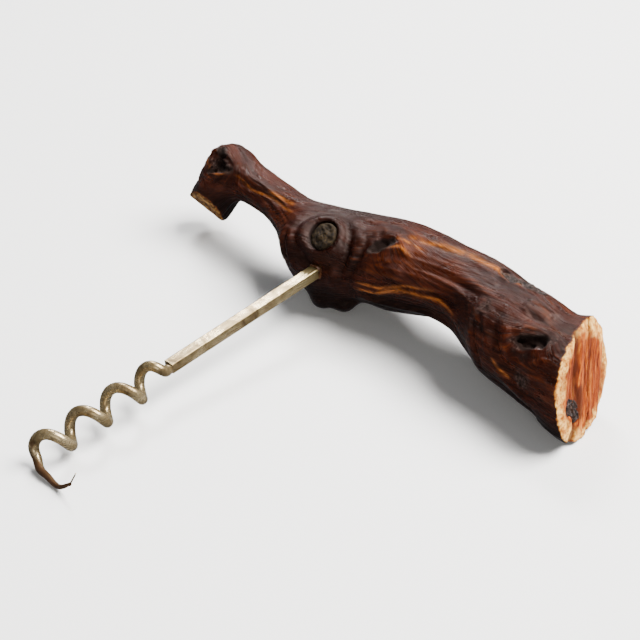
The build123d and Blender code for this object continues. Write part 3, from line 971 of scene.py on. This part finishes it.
# painted shade in the grooves of the torn fibres on the big sawn face; the dark streak beside the bark is
# darkened too
streak = 1.9 - 0.9 * off_line(verts, DARK_STREAK)
valley = np.clip(np.maximum(-torn_face(verts) * 1.3, streak), 0, 1) * (x > 60)
aged = raw * (x < 0)
in_socket = (radius < KNOT_RADIUS + 0.5) & (height < 0.6) & (height > -7)
hollow_shade = np.maximum(hollow_shade, in_socket)
worn = np.clip(crest * 0.32 + (fine - 0.82) * 1.2 - under * 0.9 - ring * 0.8 - burl * 0.5, 0, 1)
# pale wood where the varnish is worn through, and painted highlights along two lips
pale_wood_and_highlight = np.zeros(len(verts))
for width, points in PALE_STREAKS_AND_HIGHLIGHTS:
    pale_wood_and_highlight = np.maximum(pale_wood_and_highlight, stroke_shape(verts, onto_surface(points, wood_field), width, 6))
pale_wood_and_highlight = pale_wood_and_highlight * np.clip(0.85 + 0.7 * fractal(verts, 1.8, 2, 4.4), 0, 1)
rim = np.clip((section - 0.77 + 0.10 * fractal(verts, 2.0, 3, 4.0)) * 8, 0, 1) * raw

handle = make_object("vine_wood", verts, quads, WOOD)
for name, values in (
    ("grain", grain),
    ("hollow_shade", np.where(raw > 0, 0, hollow_shade)),
    ("worn", worn),
    ("pale_wood_and_highlight", pale_wood_and_highlight),
    ("raw", raw),
    ("dull", dull),
    ("rim", rim),
    ("burl", burl),
    ("under", under),
    ("valley", valley),
    ("aged", aged),
):
    give_values(handle, name, values)
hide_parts("vine_handle")
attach(handle, "root")


# ---------------------------------------------------------------- plugs: dead knot and bark
def plug(name, centre, normal, along, half_sizes, depth, relief, material, rings, spokes):
    """A closed plug of rough material, an ellipse seen end on. relief(places, how far out) gives the height
    of its face."""
    normal = unit(normal)
    along = unit(np.array(along) - np.dot(along, normal) * normal)
    side = np.cross(normal, along)
    theta = np.arange(spokes) * math.tau / spokes
    around = np.stack([np.cos(theta), np.sin(theta)], axis=-1)
    rows = []
    for ring in range(1, rings + 1):
        flat = around * (ring / rings) * np.array(half_sizes)
        edge = np.array(centre) + flat[:, :1] * along + flat[:, 1:] * side
        flat = flat * (1 + 0.06 * noise(edge, 1.4, 3.0)[:, None] * ring / rings)
        spot = np.array(centre) + flat[:, :1] * along + flat[:, 1:] * side
        drop = -0.35 * np.clip((ring / rings - 0.86) / 0.14, 0, 1) ** 2
        rows.append(spot + normal * (relief(spot, ring / rings) + drop)[:, None])
    for level in (0.35, 1.0):
        rows.append(rows[rings - 1] - normal * depth * level)
    top = np.array(centre) + normal * relief(np.array([centre], float), 0.0)[0]
    low = np.array(centre) - normal * depth
    points = [top] + [p for row in rows for p in row] + [low]
    faces = []
    for k in range(spokes):
        after = (k + 1) % spokes
        faces.append((0, 1 + k, 1 + after))
        for row in range(len(rows) - 1):
            a, b = 1 + row * spokes, 1 + (row + 1) * spokes
            faces.append((a + k, b + k, b + after, a + after))
        last = 1 + (len(rows) - 1) * spokes
        faces.append((len(points) - 1, last + after, last + k))
    return make_object(name, points, faces, material)


def knot_relief(spot, out):
    """A low crumbling dome. out is 0 at the middle and 1 at the rim."""
    rays = 0.16 * noise(spot, 0.55, 1.0) + 0.22 * noise(spot, 1.2, 4.0)
    return -0.35 + 0.45 * (1 - out**2) + rays


def bark_relief(spot, out):
    """Loose crumbs, alike from the middle to the rim."""
    return -0.55 + 0.45 * np.abs(noise(spot, 0.9, 2.0)) + 0.35 * noise(spot, 0.5, 6.0)


knot = plug(
    "dead_knot",
    centre=KNOT,
    normal=KNOT_N,
    along=(1, 0.6, 0),
    half_sizes=(KNOT_RADIUS + 0.15, KNOT_RADIUS),
    depth=KNOT_DEPTH,
    relief=knot_relief,
    material=DEAD_WOOD,
    rings=30,
    spokes=110,
)
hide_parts("knot_stub")
seam = plug(
    "bark_in_top",
    centre=(57.8, 18.7, 14.4),
    normal=(0.0, 0.2, 0.98),
    along=(14.0, -1.2, -0.6),
    half_sizes=(8.6, 2.6),
    depth=2.6,
    relief=bark_relief,
    material=BARK,
    rings=16,
    spokes=150,
)
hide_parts("bark_seam")
pocket = plug(
    "bark_in_end",
    centre=(86.2, 5.6, -4.7),
    normal=SAWN_N,
    along=(0.06, 0.58, -0.81),
    half_sizes=(4.7, 2.6),
    depth=3.6,
    relief=bark_relief,
    material=BARK,
    rings=22,
    spokes=110,
)
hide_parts("bark_pocket")
for piece in (knot, seam, pocket):
    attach(piece, "root")

# ---------------------------------------------------------------- CAD nodes that are shown as they are
for name, material in (("worm_shank", STEEL), ("glue_fill", GLUE)):
    mesh = NODES[name].data
    mesh.materials.clear()
    mesh.materials.append(material)

# ---------------------------------------------------------------- table, light and camera
AIM = np.array([17.2, -14.5, -0.75])
TABLE_REACH = 6.0
TABLE_GAP = 0.0002
WORLD_STRENGTH = 0.20
AZIMUTH = math.radians(45)
ELEVATION = math.radians(34)
DISTANCE = 0.380
SENSOR_WIDTH = 36.0
LENS = 80.2

# Soft lights: name, place in metres, size in metres, watts and colour.
LIGHTS = [
    ("overhead", (0.42, 0.50, 0.90), (0.7, 0.7), 60.0, (1.0, 0.98, 0.95)),
    ("window", (-0.55, 0.50, 0.74), (0.30, 0.22), 12.0, (1.0, 1.0, 1.0)),
    ("fill", (0.75, -0.75, 0.45), (0.5, 0.5), 4.0, (1.0, 0.97, 0.92)),
]

target = Vector((ROOT + AIM) * MM)
floor_mesh = bpy.data.meshes.new("table_top")
corners = [(TABLE_REACH * a, TABLE_REACH * b, 0) for a, b in ((-1, -1), (1, -1), (1, 1), (-1, 1))]
floor_mesh.from_pydata(corners, [], [(0, 1, 2, 3)])
table_top = bpy.data.objects.new("table_top", floor_mesh)
table_top.location.z = CAD_BOUNDS[0][2] - TABLE_GAP
bpy.context.scene.collection.objects.link(table_top)
paper = Nodes("white_table")
paper.set(Base_Color=(0.88, 0.88, 0.88, 1), Roughness=0.9, Specular_IOR_Level=0.1)
floor_mesh.materials.append(paper.material)
table_top.visible_glossy = False  # a white reflection of the table would veil the dark varnish


def soft_box(name, place, aim, size, watts, colour):
    """A rectangular area light at a place, in metres, turned towards aim."""
    data = bpy.data.lights.new(name, "AREA")
    data.shape = "RECTANGLE"
    data.size, data.size_y = size
    data.energy = watts
    data.color = colour
    lamp = bpy.data.objects.new(name, data)
    lamp.location = Vector(place)
    lamp.rotation_euler = (Vector(aim) - Vector(place)).to_track_quat("-Z", "Y").to_euler()
    bpy.context.scene.collection.objects.link(lamp)


for name, place, size, watts, colour in LIGHTS:
    soft_box(name, place, target, size, watts, colour)

world = bpy.data.worlds.new("studio")
bpy.context.scene.world = world
world.use_nodes = True
world.node_tree.nodes["Background"].inputs["Color"].default_value = (0.95, 0.97, 1.0, 1)
world.node_tree.nodes["Background"].inputs["Strength"].default_value = WORLD_STRENGTH

level = math.cos(ELEVATION)
away = Vector((math.sin(AZIMUTH) * level, -math.cos(AZIMUTH) * level, math.sin(ELEVATION)))
camera_data = bpy.data.cameras.new("camera")
camera_data.sensor_width = SENSOR_WIDTH
camera_data.lens = LENS
camera_data.clip_start = 0.01
camera = bpy.data.objects.new("camera", camera_data)
camera.location = target + away * DISTANCE
camera.rotation_euler = (-away).to_track_quat("-Z", "Y").to_euler()
bpy.context.scene.collection.objects.link(camera)
bpy.context.scene.camera = camera
